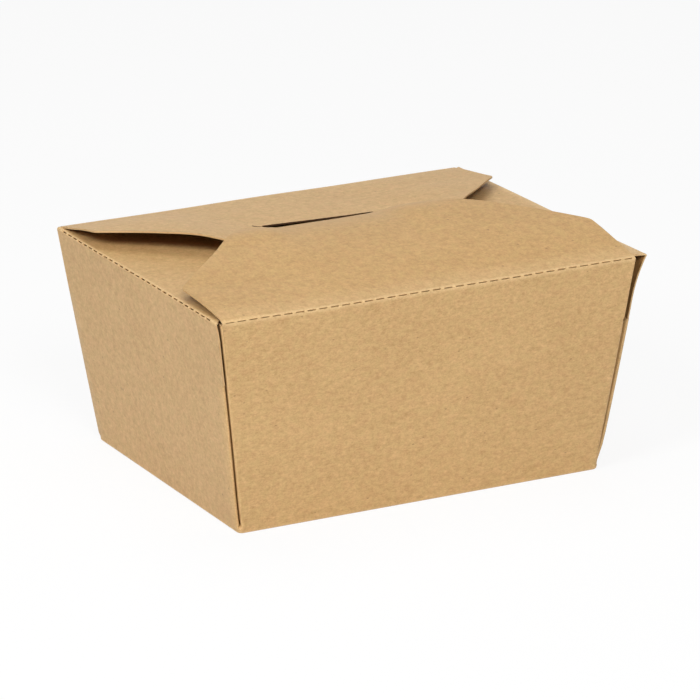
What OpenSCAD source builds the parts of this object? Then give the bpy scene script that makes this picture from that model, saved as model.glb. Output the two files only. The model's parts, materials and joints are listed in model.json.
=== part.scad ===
// Takeaway food box, folded from one sheet of kraft board.
// The tray has webbed corners that fold inwards, so it holds wet food.
// Four flaps close it: left, right, back, and last the front one, whose tongue locks in a slot.
// The origin is at the middle of the base, X runs along the long side and the front faces -Y.

/* [Tray] */
// Length of the base, left to right, over the outside
base_l = 113.4; // [100:0.2:124]
// Width of the base, front to back, over the outside
base_w = 92.6; // [84:0.2:102]
// Length of the rim, left to right, over the outside of the short walls
rim_l = 131; // [126:0.5:140]
// Width of the rim, front to back, over the outside of the long walls
rim_w = 107; // [103:0.5:114]
// Height of the rim above the table
wall_h = 64; // [50:1:76]
// Thickness of the board
board = 0.45; // [0.35:0.05:0.6]
// How much thicker than the board a crease is
crease_swell = 0.06; // [0.04:0.01:0.12]
// Radius of the base's corners
base_corner_r = 1.6; // [1:0.1:4]

/* [Webbed corners] */
// Height on the wall's edge up to which a web joins the two walls
web_h = 45; // [30:1:48]
// Length of the fold down the middle of a web
web_fold_len = 40; // [26:1:44]
// Air between a short wall and the web layer that lies on it
wall_gap = 0.1; // [0.05:0.05:0.3]
// Air between the two layers of a web, which shows as the slit down each corner
web_gap = 0.5; // [0.3:0.05:0.8]
// Height above the fold of the base at which the slit starts
slit_from = 1.8; // [1.2:0.1:6]

/* [Side flaps] */
// Length of the left and right flaps, from fold to free end
side_flap_len = 45; // [30:1:46]
// Width of their free ends
side_end_w = 74; // [50:1:80]
// How far their folds stop short of the rim's ends
side_root_inset = 2.1; // [1.8:0.1:6]
// How steeply cut back the flaps are beside their folds, to pass under the long flaps
side_cut_back = 2.2; // [2:0.1:4]
// Radius of their free corners
side_corner_r = 7; // [2:0.5:12]
// How high their free ends stand above the rim
side_rise = 1; // [0:0.1:1.4]

/* [Back flap] */
// Length of the back flap, from fold to free edge, seen from above
back_flap_len = 60; // [55:0.5:66]
// Width of its free edge
back_end_l = 62; // [50:1:80]
// How high the flap's sides arch above the rim, at the slot
back_arch = 5.4; // [3.5:0.1:6.5]
// How high its middle stands, as a share of the sides
back_mid_share = 0.51; // [0.4:0.01:0.8]
// Half width of the stretch in the middle that the lock holds down
back_mid_half = 20; // [12:1:24]
// Distance from the middle at which the sides reach their full height
back_side_at = 46; // [40:1:56]

/* [Front flap] */
// Length of the front flap, from fold to the tongue's root, seen from above
front_flap_len = 66.7; // [62:0.1:68]
// Width of the front flap at the tongue's root, over its shoulders
shoulder_l = 50; // [42:1:56]
// Distance from its fold to the highest line of its arch, before the dip
crown_at = 58; // [50:1:62]
// Distance from its fold to where it starts to dip towards the slot
dip_from = 48; // [40:1:56]
// Air left between the highest lines of the front flap and the back flap
crown_gap = 0.6; // [0.4:0.1:1.5]
// Air left between the shoulders and the back flap that they lie on
lap_gap = 0.35; // [0.3:0.05:0.6]
// Air left at the fold, between the flap's edge and the front wall
hinge_gap = 0.05; // [0.03:0.01:0.1]

/* [Wings of the long flaps] */
// Distance from the fold to the tip of a wing, seen from above
wing_depth = 24.5; // [16:0.5:30]
// How far the wing tips stay inside the rim's ends
wing_inset = 1; // [0.6:0.1:4]
// How far the ends of the long flaps' folds stay inside the rim's ends
root_inset = 2; // [1.6:0.1:6]
// Size of the rounding at the wing tips
wing_round = 3; // [1:0.5:6]

/* [Tongue and slot] */
// Width of the tongue at its root
tongue_l = 31; // [24:0.5:36]
// Width of the tongue at its tip
tongue_tip_l = 26; // [16:0.5:28]
// Depth of the tongue below its root
tongue_depth = 9; // [5:0.5:10]
// Radius of the tongue's corners
tongue_corner_r = 4; // [2:0.5:5]
// Play at each end of the tongue in the slot, at the tighter end
slot_end_play = 0.6; // [0.4:0.1:1]
// Extra length of the slot at its left end
slot_extra = 4.6; // [2:0.2:6]
// Play in front of the tongue
slot_front_play = 0.6; // [0.4:0.1:1]
// Play behind the tongue
slot_back_play = 1.1; // [0.8:0.1:1.6]
// Radius of the hook that ends the slot on the left
hook_r = 3.6; // [2.5:0.1:5]
// Width of the hook's cut
hook_w = 0.7; // [0.5:0.1:1]
// Diameter of the round end of the slot on the right
relief_d = 2.4; // [2:0.1:3]

/* [Perforated folds] */
// Distance from one cut to the next, along the folds at the rim
cut_pitch = 3.5; // [3:0.1:5]
// Length of each cut
cut_l = 2.2; // [1.2:0.1:2.4]
// Width of each cut
cut_w = 0.3; // [0.2:0.05:0.4]
// How far the row of cuts stays inside the ends of its fold
cut_inset = 1; // [0.6:0.1:6]

/* [Hidden] */
$fn = 48;

half_board = board / 2;
kraft = [0.80, 0.66, 0.46];
kraft_top = [0.81, 0.65, 0.44];

// Fold lines at the middle of the board: half lengths and heights at the base and at the rim
fold_d = board + crease_swell;
base_x = base_l / 2 - half_board;
base_y = base_w / 2 - half_board;
base_z = half_board + crease_swell;
rim_x = rim_l / 2 - half_board;
rim_y = rim_w / 2 - half_board;
rim_z = wall_h - half_board;

// Layers inside a short wall, measured from the middle of that wall
layer_near = board + wall_gap;
layer_far = layer_near + board + web_gap;
bead_r = board + wall_gap / 2;
web_share = web_h / wall_h;

// The front flap's fold line, on the outside of the board
hinge_y = -rim_w / 2;
hinge_z = wall_h;
mitre_angle = 52;

// Rows and columns of the arched flaps
front_rows = 40;
back_rows = 24;
back_cols = 30;

// The arch follows a sine that is this far on at the slot
arch_phase = 64;

wing_half = rim_l / 2 - wing_inset;
root_half = rim_l / 2 - root_inset;
tongue_y = hinge_y + front_flap_len;
slot_front_y = tongue_y - board - slot_front_play;
slot_back_y = tongue_y + slot_back_play;
slot_right_x = tongue_l / 2 + slot_end_play;
slot_left_x = -tongue_l / 2 - slot_end_play - slot_extra;

function mix(a, b, t) = a + (b - a) * t;
function unit(v) = v / norm(v);
function ease(t) = let(c = max(0, min(1, t))) c * c * (3 - 2 * c);
function soft_min(a, b, r) = min(a, b) - pow(max(0, r - abs(a - b)), 2) / (4 * r);

// Half width of a long flap at a distance from its fold: out to the wing tip, then in to its end
function flap_half(d, len, end_half) = soft_min(
    mix(root_half, wing_half, d / wing_depth),
    mix(wing_half, end_half, (d - wing_depth) / (len - wing_depth)),
    wing_round);

// Height of the back flap's top face above the rim
slot_at = rim_w - front_flap_len;
function back_share(x) = mix(back_mid_share, 1,
    ease((abs(x) - back_mid_half) / (back_side_at - back_mid_half)));
function back_rise(x, d) = back_arch * back_share(x)
    * sin(min(90, arch_phase * d / slot_at)) / sin(arch_phase);

// Height of the front flap's top face above the rim: an arch with a dip towards the slot
root_rise = back_rise(shoulder_l / 2, slot_at) + board + lap_gap;
crown = back_arch / sin(arch_phase) + board + crown_gap;
function front_arch(d) = crown * sin(90 * d / crown_at);
dip = front_arch(front_flap_len) - root_rise;
function front_rise(d) = front_arch(d)
    - dip * pow(max(0, d - dip_from) / (front_flap_len - dip_from), 2);

// A flat piece of board with its middle on the plane through the given points
module plate(points) {
    n = unit(cross(points[1] - points[0], points[2] - points[0]));
    tilt = acos(n[2]);
    turn = atan2(n[1], n[0]);
    across = [cos(tilt) * cos(turn), cos(tilt) * sin(turn), -sin(tilt)];
    along = [-sin(turn), cos(turn), 0];
    translate(points[0]) rotate([0, tilt, turn])
        linear_extrude(board, center = true)
            polygon([for (p = points) [(p - points[0]) * across, (p - points[0]) * along]]);
}

// The swollen fold from one point to another, with twelve narrow sides
module fold(a, b, d = fold_d) {
    v = b - a;
    translate(a) rotate([0, acos(v[2] / norm(v)), atan2(v[1], v[0])])
        cylinder(d = d, h = norm(v), $fn = 12);
}

// A row of cuts along X, deep enough to pass through a fold on both sides of Z = 0
module perforation(fold_l) {
    last = floor((fold_l - 2 * cut_inset - cut_l) / cut_pitch);
    depth = 3 * fold_d;
    for (i = [0:last])
        translate([(i - last / 2) * cut_pitch - cut_l / 2, -cut_w / 2, -depth / 2])
            cube([cut_l, cut_w, depth]);
}

// A curved sheet: top and under are functions of the row and the column, each from 0 to 1
module sheet(rows, cols, top, under) {
    n = (rows + 1) * (cols + 1);
    function k(i, j) = i * (cols + 1) + j;
    points = concat(
        [for (i = [0:rows]) for (j = [0:cols]) top(i / rows, j / cols)],
        [for (i = [0:rows]) for (j = [0:cols]) under(i / rows, j / cols)]);
    faces = concat(
        [for (i = [0:rows - 1]) for (j = [0:cols - 1]) each [
            [k(i, j), k(i + 1, j), k(i + 1, j + 1)],
            [k(i, j), k(i + 1, j + 1), k(i, j + 1)],
            [n + k(i, j), n + k(i + 1, j + 1), n + k(i + 1, j)],
            [n + k(i, j), n + k(i, j + 1), n + k(i + 1, j + 1)]]],
        [for (i = [0:rows - 1]) each [
            [k(i, 0), n + k(i, 0), n + k(i + 1, 0)],
            [k(i, 0), n + k(i + 1, 0), k(i + 1, 0)],
            [k(i, cols), n + k(i + 1, cols), n + k(i, cols)],
            [k(i, cols), k(i + 1, cols), n + k(i + 1, cols)]]],
        [for (j = [0:cols - 1]) each [
            [k(0, j), n + k(0, j + 1), n + k(0, j)],
            [k(0, j), k(0, j + 1), n + k(0, j + 1)],
            [k(rows, j), n + k(rows, j), n + k(rows, j + 1)],
            [k(rows, j), n + k(rows, j + 1), k(rows, j + 1)]]]);
    polyhedron(points, faces);
}

// Points on the fold lines, at a share of the wall's height, for the corner at +X, -Y
function short_wall(y, share) = [mix(base_x, rim_x, share), y, mix(base_z, rim_z, share)];
function corner_y(share) = mix(base_y, rim_y, share) + half_board;
function bead_y(share) = corner_y(share) - bead_r;
function long_wall_end(share) = mix(base_x, rim_x, share) - layer_far;
function long_wall_foot(share) = mix(base_x, rim_x, share) - layer_near / 2;
function long_wall(x, share) = [x, -mix(base_y, rim_y, share), mix(base_z, rim_z, share)];

wall_normal = unit([rim_z - base_z, 0, base_x - rim_x]);
wall_edge = unit(short_wall(-corner_y(1), 1) - short_wall(-corner_y(0), 0));
wall_inward = unit(cross(wall_edge, wall_normal));

// The corner of the flat sheet between two walls is halved by the web's fold
side_angle_long = atan2(rim_x - base_x, norm([rim_y - base_y, rim_z - base_z]));
side_angle_short = atan2(rim_y - base_y, norm([rim_x - base_x, rim_z - base_z]));
web_half_angle = (90 - side_angle_long - side_angle_short) / 2;
web_fold_way = wall_edge * cos(web_half_angle) + wall_inward * sin(web_half_angle);

module base() {
    r = base_corner_r;
    linear_extrude(board) hull()
        for (sx = [-1, 1], sy = [-1, 1])
            translate([sx * (base_x - r), sy * (base_y - r)]) circle(r);
}

// One long wall, at the front, with its fold to the base: its feet close the corners below the slits
module long_wall_panel() {
    foot = slit_from / wall_h;
    plate([
        long_wall(-long_wall_foot(0), 0), long_wall(long_wall_foot(0), 0),
        long_wall(long_wall_foot(foot), foot), long_wall(long_wall_end(foot), foot),
        long_wall(long_wall_end(1), 1), long_wall(-long_wall_end(1), 1),
        long_wall(-long_wall_end(foot), foot), long_wall(-long_wall_foot(foot), foot)]);
    fold(long_wall(-long_wall_foot(0), 0), long_wall(long_wall_foot(0), 0));
}

// One short wall, at +X, stepped out above the webs where its edges are free
module short_wall_panel() {
    plate([
        short_wall(-bead_y(0), 0), short_wall(bead_y(0), 0),
        short_wall(bead_y(web_share), web_share), short_wall(corner_y(web_share), web_share),
        short_wall(corner_y(1), 1), short_wall(-corner_y(1), 1),
        short_wall(-corner_y(web_share), web_share), short_wall(-bead_y(web_share), web_share)]);
    fold(short_wall(-corner_y(0) + fold_d, 0), short_wall(corner_y(0) - fold_d, 0));
}

// The web in the corner at +X, -Y: two layers against the short wall, and the folds that join them
module web() {
    near_low = short_wall(-bead_y(0), 0) - wall_normal * layer_near;
    near_high = short_wall(-bead_y(web_share), web_share) - wall_normal * layer_near;
    far_low = long_wall(long_wall_end(0), 0);
    far_high = long_wall(long_wall_end(web_share), web_share);
    tip = short_wall(-bead_y(0), 0) + web_fold_way * web_fold_len;
    near_tip = tip - wall_normal * layer_near;
    far_tip = tip - wall_normal * layer_far;
    web_bend_d = layer_far - layer_near + fold_d;
    plate([near_low, near_high, near_tip]);
    plate([far_low, far_high, far_tip]);
    fold(far_low, far_high);
    fold(near_low + wall_normal * layer_near / 2, near_high + wall_normal * layer_near / 2,
        2 * bead_r + crease_swell);
    fold((near_low + far_low) / 2 + web_fold_way * web_bend_d, (near_tip + far_tip) / 2, web_bend_d);
}

// The flap on the short wall at +X, which folds in first
module side_flap() {
    rise = asin(side_rise / side_flap_len);
    root = rim_y - side_root_inset;
    neck = root - side_cut_back;
    fold([rim_x, fold_d - root, rim_z], [rim_x, root - fold_d, rim_z]);
    translate([rim_x, 0, rim_z]) rotate([0, rise, 0]) linear_extrude(board, center = true) {
        polygon([[0, -root], [0, root], [-side_cut_back, neck], [-side_cut_back, -neck]]);
        hull() {
            translate([-side_cut_back, -neck]) square([board, 2 * neck]);
            for (s = [-1, 1])
                translate([side_corner_r - side_flap_len, s * (side_end_w / 2 - side_corner_r)])
                    circle(side_corner_r);
        }
    }
}

// The slot that the tongue enters, with a hook at one end and a round hole at the other
module slot() {
    mid_y = (slot_front_y + slot_back_y) / 2;
    translate([slot_left_x, slot_front_y]) square([slot_right_x - slot_left_x, slot_back_y - slot_front_y]);
    translate([slot_right_x, mid_y]) circle(d = relief_d);
    translate([slot_left_x, mid_y + hook_r]) intersection() {
        difference() {
            circle(hook_r + hook_w / 2);
            circle(hook_r - hook_w / 2);
        }
        translate([-2 * hook_r, -2 * hook_r]) square([2 * hook_r, 2 * hook_r]);
    }
}

// The flap on the back wall, made at the front and mirrored
function back_top(s, t) = let(
    d = s * back_flap_len,
    x = mix(-1, 1, t) * flap_half(d, back_flap_len, back_end_l / 2))
    [x, hinge_y + d, wall_h + back_rise(x, d)];

module back_flap() {
    difference() {
        mirror([0, 1, 0]) sheet(back_rows, back_cols,
            function (s, t) back_top(s, t),
            function (s, t) back_top(s, t) - [0, 0, board]);
        translate([0, 0, wall_h - board]) linear_extrude(2 * back_arch) slot();
    }
    mirror([0, 1, 0]) fold([fold_d - root_half, -rim_y, rim_z], [root_half - fold_d, -rim_y, rim_z]);
}

// The front fold's cuts, half of each in the wall's edge and half in the flap's
module front_perforation() {
    translate([0, -rim_y, rim_z]) rotate([45, 0, 0]) perforation(2 * root_half);
}

// The front wall, mitred at the rim where the front flap turns
module front_wall() {
    difference() {
        long_wall_panel();
        translate([-rim_l, hinge_y, hinge_z]) rotate([-mitre_angle, 0, 0]) translate([0, -rim_w, 0])
            cube([2 * rim_l, 2 * rim_w, wall_h]);
        front_perforation();
    }
}

// The back wall and its flap, perforated where they meet
module back_wall() {
    difference() {
        union() {
            mirror([0, 1, 0]) long_wall_panel();
            back_flap();
        }
        translate([0, rim_y, rim_z]) rotate([-45, 0, 0]) perforation(2 * root_half);
    }
}

// The short wall at +X and its flap, perforated where they meet
module short_wall_with_flap() {
    difference() {
        union() {
            short_wall_panel();
            side_flap();
        }
        translate([rim_x, 0, rim_z]) rotate([0, 45, 0]) rotate([0, 0, 90])
            perforation(2 * (rim_y - side_root_inset));
    }
}

// The folded sheet, all but the flap that opens first
module carton() color(kraft) {
    base();
    front_wall();
    back_wall();
    for (sx = [0, 1]) mirror([sx, 0, 0]) {
        short_wall_with_flap();
        for (sy = [0, 1]) mirror([0, sy, 0]) web();
    }
}

function front_top(s, t) = let(
    d = mix(hinge_gap, front_flap_len, s),
    x = mix(-1, 1, t) * flap_half(d, front_flap_len, shoulder_l / 2))
    [x, hinge_y + d, wall_h + front_rise(d)];

// The flap that closes last and opens first; its underside starts further in, as a mitre
module front_flap() color(kraft_top) {
    root = [0, tongue_y - half_board, wall_h + root_rise - half_board];
    difference() {
        sheet(front_rows, 1,
            function (s, t) front_top(s, t),
            function (s, t) front_top(s, t) + [0, s == 0 ? board + hinge_gap : 0, -board]);
        front_perforation();
    }
    fold(root - [tongue_l / 2, 0, 0], root + [tongue_l / 2, 0, 0]);
    translate(root) rotate([90, 0, 0]) linear_extrude(board, center = true) hull() {
        translate([-tongue_l / 2, -board]) square([tongue_l, board]);
        for (s = [-1, 1])
            translate([s * (tongue_tip_l / 2 - tongue_corner_r), tongue_corner_r - tongue_depth])
                circle(tongue_corner_r);
    }
}

carton();
front_flap();
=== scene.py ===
# %% [markdown]
# # A folded kraft food box
# The real box is one sheet of brown board, die cut, creased and folded. This lesson builds it the same
# way: first the middle of the sheet as an open surface, then its thickness, then the finish.
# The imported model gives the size, the place of the fold that turns, and the two bodies.

# %% Load the frame
import json
import math

import bmesh
import bpy
from mathutils import Matrix, Vector, noise


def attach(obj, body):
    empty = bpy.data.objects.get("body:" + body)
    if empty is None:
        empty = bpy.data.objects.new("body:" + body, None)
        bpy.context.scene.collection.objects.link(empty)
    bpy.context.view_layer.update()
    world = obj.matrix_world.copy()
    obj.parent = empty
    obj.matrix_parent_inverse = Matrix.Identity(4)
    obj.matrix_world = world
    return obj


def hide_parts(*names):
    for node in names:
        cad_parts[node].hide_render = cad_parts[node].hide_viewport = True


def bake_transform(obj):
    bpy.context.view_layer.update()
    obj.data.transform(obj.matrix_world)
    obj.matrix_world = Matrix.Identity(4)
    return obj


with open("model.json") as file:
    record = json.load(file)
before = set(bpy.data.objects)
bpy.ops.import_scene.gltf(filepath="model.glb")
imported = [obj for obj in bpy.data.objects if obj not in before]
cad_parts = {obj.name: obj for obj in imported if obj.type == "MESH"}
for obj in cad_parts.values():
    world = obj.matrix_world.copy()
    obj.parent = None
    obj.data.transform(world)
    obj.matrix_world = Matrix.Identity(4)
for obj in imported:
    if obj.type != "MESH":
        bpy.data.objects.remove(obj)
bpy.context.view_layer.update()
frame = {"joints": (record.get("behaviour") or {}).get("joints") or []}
MM = 0.001

# %% [markdown]
# ## The sizes of the board
# A box of this kind is quoted by its base, its rim and its height, over the outside. A sheet model needs
# the middle of the board instead, so half a thickness comes off each side. The rim's width and height
# come from the frame: the front flap turns about the rim. The walls are flat and flare, so the size of
# the box at any height is a plain mix of its size at the base and at the rim.

# %% Driving sizes
fold_at = frame["joints"][0]["pos_m"]
BOARD = 0.45
HALF = BOARD / 2
RIM_L = 131.0
RIM_W = -2 * fold_at[1] / MM
WALL_H = fold_at[2] / MM
BASE_L = 113.4
BASE_W = 92.6
base_x, base_y, base_z = BASE_L / 2 - HALF, BASE_W / 2 - HALF, HALF
rim_x, rim_y, rim_z = RIM_L / 2 - HALF, RIM_W / 2 - HALF, WALL_H - HALF
print(f"rim {RIM_L:.1f} x {RIM_W:.1f} mm, {WALL_H:.1f} mm high")


def mix(a, b, t):
    """The value a share t of the way from a to b."""
    return a + (b - a) * t


def ease(t):
    """A soft step: 0 up to 0, 1 from 1 on, and smooth between."""
    t = min(max(t, 0.0), 1.0)
    return t * t * (3 - 2 * t)


def plane_x(z):
    """Half length of the box at a height, to the middle of a short wall."""
    return mix(base_x, rim_x, (z - base_z) / (rim_z - base_z))


def plane_y(z):
    """Half width of the box at a height, to the middle of a long wall."""
    return mix(base_y, rim_y, (z - base_z) / (rim_z - base_z))


# %% [markdown]
# ## Columns that know the perforation
# The folds at the rim are perforated: short cuts with ties of board between them. If the columns of
# points along a wall start and end exactly where the cuts do, a cut is made by leaving a face out, which
# is cheaper and cleaner than cutting a finished mesh. So the rows of cuts are worked out first.

# %% Rows of cuts
CUT_PITCH = 3.5
CUT_L = 2.5
CUT_INSET = 1.0


def cut_edges(half_length):
    """Where the cuts of one fold start and end, measured from its middle."""
    last = math.floor((2 * half_length - 2 * CUT_INSET - CUT_L) / CUT_PITCH)
    middles = [(i - last / 2) * CUT_PITCH for i in range(last + 1)]
    return [m + s * CUT_L / 2 for m in middles for s in (-1, 1)]


# %% [markdown]
# ## The corners
# Each corner holds a web: a triangle of board folded in two and laid against the short wall, so that
# nothing leaks. Seen from above, the board runs along the long wall, turns back on itself, runs along
# the web's far layer, bends back along the near layer, turns round a tight bead and runs on as the
# short wall. The bead stands a little behind the long wall's face, which leaves the dark slit that
# every such box shows at its corners.
# A loft can make all of it at once: one closed line for each height, with the same number of points.
# Near the base the web is too narrow to fold, so the line eases into a plain rounded corner there. That
# is the pinch below each slit.

# %% Layers of a corner
WALL_GAP = 0.1
WEB_GAP = 0.5
NEAR = BOARD + WALL_GAP
FAR = NEAR + BOARD + WEB_GAP
BEAD_R = NEAR / 2
BEND_R = (FAR - NEAR) / 2
TURN_R = 0.35
WEB_H = 45.0
WEB_TIP_Z = 31.3
WEB_TIP_IN = 24.6
WEB_LEAST_IN = 3.2
print(f"a web reaches {WEB_TIP_IN:.1f} mm along the short wall, its layers {NEAR:.2f} and {FAR:.2f} mm in")


def web_depth(z):
    """How far a web reaches along the short wall at a height: out to its tip, then back in."""
    if z <= WEB_TIP_Z:
        return max(WEB_LEAST_IN, WEB_TIP_IN * z / WEB_TIP_Z)
    return mix(WEB_TIP_IN, WEB_LEAST_IN, (z - WEB_TIP_Z) / (WEB_H - WEB_TIP_Z))


# %% [markdown]
# The corners of a folded box are not all alike. The back ones here are pressed square, and the front
# ones stand open. Five values describe a corner: "end_in" is how far before the short wall the long
# wall's flat part ends, "turn" is the angle that its end is folded in by, "bead" is how far the short
# wall's end stays behind the long wall, "free_bead" is the same above the web, and "free_out" is how
# far the long wall's free end juts out there. At the left the short wall's free end comes forward at
# once above the web, and goes back in a little just below the rim.

# %% Folds of each corner
STEP_OVER = 1.2
LEFT_HASTE = 4
LEFT_RIM_IN = 1.0
LEFT_RIM_OVER = 4.5
BACK_CORNER = {
    "end_in": FAR + TURN_R, "turn": 90, "bead": BEAD_R, "free_bead": BEAD_R, "free_out": 0.9}
RIGHT_CORNER = {
    "end_in": 0.6, "turn": 125, "bead": 1.45, "free_bead": 1.45, "free_out": 0.4}
LEFT_CORNER = {
    "end_in": 1.5, "turn": 125, "bead": 1.35, "free_bead": -0.1, "free_out": 0.0}


def corner(sx, sy):
    """The folds of the corner at the side sx (-1 is left) and sy (-1 is the front)."""
    return BACK_CORNER if sy > 0 else RIGHT_CORNER if sx > 0 else LEFT_CORNER


def bead_at(sx, sy, z):
    """How far a short wall's end stays behind the long wall's plane, below and above the web's top."""
    folds = corner(sx, sy)
    if folds is LEFT_CORNER:
        top_in = LEFT_RIM_IN * ease(1 - (rim_z - z) / LEFT_RIM_OVER)
        above = ease(LEFT_HASTE * (z - WEB_H) / STEP_OVER)
        return mix(folds["bead"], folds["free_bead"] + top_in, above)
    return mix(folds["bead"], folds["free_bead"], ease((z - WEB_H) / STEP_OVER))


# %% [markdown]
# ## What the spring of the board does
# Folded board pushes back. The webs at the right hold the short wall a little off, less at the base
# and at the back. Above the webs it is free: its rim leans out, furthest at the front corner, where the
# flap's fold curls it. These small moves keep the box from looking like a perfect solid.

# %% Lean of the right wall
SPRING_BASE, SPRING_FOOT, SPRING_TOP = 0.6, 1.65, 2.2
FOOT_OVER = 9.0
SPRING_FROM, SPRING_TO = 5.0, 47.0
SPRING_BACK = 0.3
CURL = (0.4, 0.45, 1.25)
CURL_FROM = 51.0


def wall_spread(sx, y, z):
    """How far a short wall stands out at a place: most at its front top corner."""
    if sx < 0:
        return 0.0
    share = 0.5 - y / (2 * plane_y(z))
    climb = min(max(z - SPRING_FROM, 0) / (SPRING_TO - SPRING_FROM), 1)
    foot = ease(z / FOOT_OVER)
    spring = mix(SPRING_BASE, mix(SPRING_FOOT, SPRING_TOP, climb), foot) * mix(SPRING_BACK, 1, share)
    curl = sum(part * share**power for power, part in enumerate(CURL))
    return spring + curl * (max(0.0, z - CURL_FROM) / (rim_z - CURL_FROM)) ** 2


print(f"the right wall's front top corner stands out by {wall_spread(1, -rim_y, rim_z):.1f} mm")

# %% [markdown]
# ## Columns along the walls
# A column is a share of a wall's half length, from -1 to 1, so it follows the flare of the wall and the
# taper of the flap above it. The edges of the cuts are columns, and so are the edges of the tongue.

# %% Columns
LONG_FOLD_HALF = 63.5
SIDE_FOLD_HALF = 51.2
SIDE_WALL_HALF = 52.3
TONGUE_SHARE = 0.62
long_cuts = [x / LONG_FOLD_HALF for x in cut_edges(LONG_FOLD_HALF)]
side_cuts = [y / SIDE_WALL_HALF for y in cut_edges(SIDE_FOLD_HALF)]
long_columns = sorted([-1, 1, -TONGUE_SHARE, TONGUE_SHARE] + long_cuts)
side_columns = sorted([-1, 1] + side_cuts)
print(f"{len(long_cuts) // 2} cuts in a long fold, {len(side_cuts) // 2} in a short one")


def long_end(sx, sy, z):
    """Half length of a long wall's flat part at a height; above the web its free end juts out."""
    folds = corner(sx, sy)
    free = folds["free_out"] * ease((z - WEB_H) / STEP_OVER)
    return plane_x(z) - folds["end_in"] + free


def wall_x(u, sy, z):
    """Place along a long wall for a column."""
    return u * long_end(1 if u > 0 else -1, sy, z)


def wall_y(v, sx, z):
    """Place along a short wall for a column."""
    return v * (plane_y(z) - bead_at(sx, 1 if v > 0 else -1, z))


# %% [markdown]
# ## One quarter of the line
# The line is written once, as distances inwards from the two walls, for the webbed corner and for the
# plain one. Both lists have the same points, so easing between them is a plain mix.

# %% Points of a corner
TURN_STEPS = 4
WEB_STEPS = 6
BEND_STEPS = 5
BEAD_STEPS = 4
CROSSING = (0.4, 0.8, 0.97)
STRAIGHT_ON = 0.3
WEB_START = 0.25
LEAST_CROSSING = 0.01


def turned_end(folds):
    """Points of a long wall's end as it turns in and runs across to the web's far layer."""
    line = []
    turn = math.radians(folds["turn"])
    for k in range(1, TURN_STEPS + 1):
        t = turn * k / TURN_STEPS
        line.append((folds["end_in"] - TURN_R * math.sin(t), TURN_R * (1 - math.cos(t))))
    turned_a, turned_b = line[-1]
    far_b = turned_b + STRAIGHT_ON
    if FAR - turned_a > LEAST_CROSSING:
        far_b = turned_b - (FAR - turned_a) * math.tan(turn)
    return line + [(mix(turned_a, FAR, share), mix(turned_b, far_b, share)) for share in CROSSING]


def webbed_line(folds, z):
    """Points (kind, inward from the short wall, inward from the long wall) of a webbed corner."""
    line = [("long", a, b) for a, b in turned_end(folds)]
    far_b = line[-1][2] + WEB_START
    depth = web_depth(z)
    for k in range(WEB_STEPS + 1):
        line.append(("long", FAR, mix(far_b, depth, k / WEB_STEPS)))
    for k in range(1, BEND_STEPS + 1):
        t = math.radians(180 * k / BEND_STEPS)
        line.append(("bend", (FAR + NEAR) / 2 + BEND_R * math.cos(t), depth + BEND_R * math.sin(t)))
    for k in range(1, WEB_STEPS + 1):
        line.append(("short", NEAR, mix(depth, folds["bead"], k / WEB_STEPS)))
    for k in range(1, BEAD_STEPS + 1):
        t = math.radians(180 * k / BEAD_STEPS)
        line.append(("short", BEAD_R * (1 + math.cos(t)), folds["bead"] - BEAD_R * math.sin(t)))
    return line


# %% [markdown]
# The plain corner of the base turns round one radius. The pinch says how much of the webbed line shows
# at a height, and the lean of the right wall is added to the layers that lie on it.

# %% Quarter line
PINCH_R = 1.2
PINCH_FROM, PINCH_TO = 1.2, 2.6


def plain_line(count):
    """As many points round a plain corner."""
    turns = [math.radians(90 * k / count) for k in range(1, count + 1)]
    return [(PINCH_R * (1 - math.sin(t)), PINCH_R * (1 - math.cos(t))) for t in turns]


def quarter(sx, sy, z, half_x, half_y):
    """Points (kind, x, y) from the middle of a long wall to the middle of the next short one."""
    pinch = ease((z - PINCH_FROM) / (PINCH_TO - PINCH_FROM))
    folds = corner(sx, sy)
    webbed = webbed_line(folds, z)
    plain = plain_line(len(webbed))
    end = half_x + mix(wall_spread(sx, sy * half_y, z) - PINCH_R, -folds["end_in"], pinch)
    points = [("wall", sx * u * end, sy * half_y) for u in long_columns if u > 0]
    for (kind, a, b), (pa, pb) in zip(webbed, plain):
        y = sy * (half_y - mix(pb, b, pinch))
        spread = wall_spread(sx, y, z)
        out = {"long": 0.0, "bend": spread / 2, "short": spread}
        points.append((kind, sx * (half_x + mix(spread - pa, out[kind] - a, pinch)), y))
    reach = half_y - mix(PINCH_R, folds["bead"], pinch)
    for v in reversed([v for v in side_columns if 0 < v < 1]):
        y = sy * v * reach
        points.append(("side", sx * (half_x + wall_spread(sx, y, z)), y))
    return points


def ring(z, half_x, half_y):
    """The whole closed line at a height, and the kind of each of its points."""
    line = []
    for sx, sy, backwards in ((1, -1, False), (1, 1, True), (-1, 1, False), (-1, -1, True)):
        part = quarter(sx, sy, z, half_x, half_y)
        line += reversed(part) if backwards else part
    return [Vector((x, y, z)) for _, x, y in line], [kind for kind, _, _ in line]


print(f"a corner has {len(webbed_line(BACK_CORNER, WEB_TIP_Z))} points at each height")

# %% [markdown]
# ## The lower tray
# The rings start inside the base's fold, follow its small radius and climb the walls to the top of the
# webs. A layer of the mesh marks how much paler each fold is painted, for the finish to use later: partly
# rubbed fibres, partly a painted highlight. Above its tip a web's bend is a free edge, so no faces close it
# there.

# %% Loft
BASE_FOLD_R = 0.45
WALL_FLARE_DEG = 7.2
BASE_TURN = math.radians(90 - WALL_FLARE_DEG)
BASE_ROWS = 4
# The folds are painted paler: partly rubbed fibres, partly a painted highlight, most at the base's fold.
BASE_RUB_AND_HIGHLIGHT = 0.6
RUB_AND_HIGHLIGHT = {"wall": 0.0, "side": 0.0, "long": 0.1, "bend": 0.4, "short": 0.3}
pinch_levels = [0.9, 1.2, 1.5, 1.8, 2.1, 2.4, 2.7]
wall_levels = [4.5, 7, 11, 15, 19, 23, 27, WEB_TIP_Z, 34.5, 38, 41.5, WEB_H]


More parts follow.
